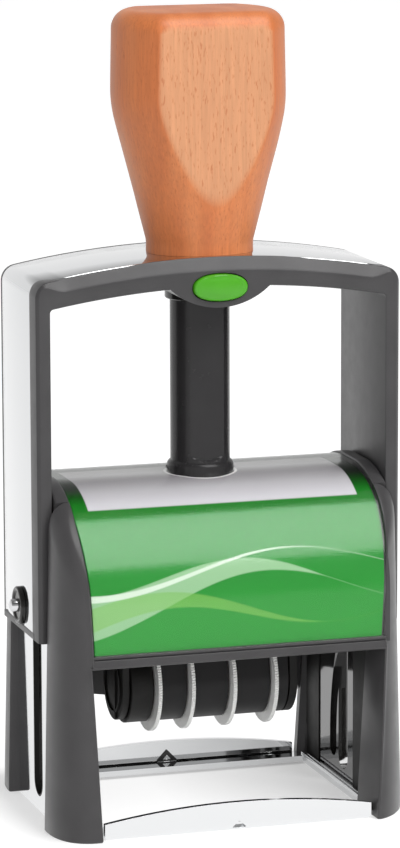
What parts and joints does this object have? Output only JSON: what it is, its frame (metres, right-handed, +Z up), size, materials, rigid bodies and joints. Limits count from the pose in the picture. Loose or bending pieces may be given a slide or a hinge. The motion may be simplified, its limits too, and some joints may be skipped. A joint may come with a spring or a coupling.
{
  "type": "self-inking date stamp",
  "caption": "Self-inking date stamp: a wooden handle on a sprung yoke drives a flip-over plate with date wheels between an ink pad under the hood and the paper.",
  "frame": {"origin": "on the table, under the middle of the base", "axes": "+X to the right seen from the front, +Y to the rear, where the ink pad comes out, +Z up"},
  "size_m": [0.0894, 0.0622, 0.1802],
  "materials": {
    "beech": "oiled, satin",
    "chrome": "bright",
    "graphite_plastic": "soft gloss",
    "black_plastic": "gloss",
    "green_plastic": "gloss",
    "white_plastic": "satin",
    "steel": "satin",
    "pin_steel": "polished",
    "clear_plastic": "clear gloss",
    "printed_card": "printed",
    "plate_rubber": "matt",
    "band_rubber": "matt",
    "ink_felt": "damp felt"
  },
  "bodies": {
    "frame": {"base_frame": "chrome", "side_plate_left": "chrome", "side_plate_right": "chrome", "cam_guide_left": "black_plastic", "cam_guide_right": "black_plastic", "tray_rail_left": "black_plastic", "tray_rail_right": "black_plastic", "bridge_plate": "steel", "front_housing": "graphite_plastic", "rear_housing": "graphite_plastic", "housing_screws": "steel", "label_card": "printed_card", "index_window": "clear_plastic", "guide_column": "black_plastic", "column_screws": "steel", "return_spring": "steel"},
    "pad": {"pad_tray": "black_plastic", "ink_pad": "ink_felt"},
    "yoke": {"yoke_frame": "graphite_plastic", "yoke_strap": "chrome", "column_bush": "black_plastic", "axle_bush_left": "black_plastic", "axle_bush_right": "black_plastic", "axle_pin_left": "pin_steel", "axle_pin_right": "pin_steel", "handle": "beech", "handle_screws": "steel", "plunger_rod": "steel", "button_spring": "steel"},
    "button": {"lock_button": "green_plastic"},
    "carrier": {"carrier_frame": "black_plastic", "cam_pin_left": "pin_steel", "cam_pin_right": "pin_steel", "text_plate": "plate_rubber", "date_unit_frame": "black_plastic", "date_bridge": "black_plastic", "wheel_axle": "pin_steel", "plain_drum": "black_plastic", "date_band_1": "band_rubber", "date_band_2": "band_rubber", "date_band_3": "band_rubber", "date_band_4": "band_rubber"},
    "wheel_1": {"date_wheel_1": "white_plastic"},
    "wheel_2": {"date_wheel_2": "white_plastic"},
    "wheel_3": {"date_wheel_3": "white_plastic"},
    "wheel_4": {"date_wheel_4": "white_plastic"}
  },
  "joints": [
    {"name": "press", "type": "slide", "parent": "frame", "child": "yoke", "axis": [0, 0, -1], "range_m": [0, 0.036], "stiffness_N_per_m": 400, "springref_m": -0.015, "deforming": ["return_spring"]},
    {"name": "carrier_flip", "type": "hinge", "parent": "yoke", "child": "carrier", "pos_m": [0, 0, 0.0466], "axis": [-1, 0, 0], "range_deg": [0, 180]},
    {"name": "lock", "type": "slide", "parent": "yoke", "child": "button", "axis": [0, 1, 0], "range_m": [0, 0.002], "stiffness_N_per_m": 300, "springref_m": -0.001, "deforming": ["button_spring"]},
    {"name": "pad_slide", "type": "slide", "parent": "frame", "child": "pad", "axis": [0, 1, 0], "range_m": [0, 0.055]},
    {"name": "wheel_1_turn", "type": "hinge", "parent": "carrier", "child": "wheel_1", "pos_m": [0, 0, 0.028], "axis": [1, 0, 0], "continuous": true},
    {"name": "wheel_2_turn", "type": "hinge", "parent": "carrier", "child": "wheel_2", "pos_m": [0, 0, 0.028], "axis": [1, 0, 0], "continuous": true},
    {"name": "wheel_3_turn", "type": "hinge", "parent": "carrier", "child": "wheel_3", "pos_m": [0, 0, 0.028], "axis": [1, 0, 0], "continuous": true},
    {"name": "wheel_4_turn", "type": "hinge", "parent": "carrier", "child": "wheel_4", "pos_m": [0, 0, 0.028], "axis": [1, 0, 0], "continuous": true}
  ],
  "couplings": [
    {"joint": "carrier_flip", "follows": "press", "rad_per_m": 87.266}
  ]
}
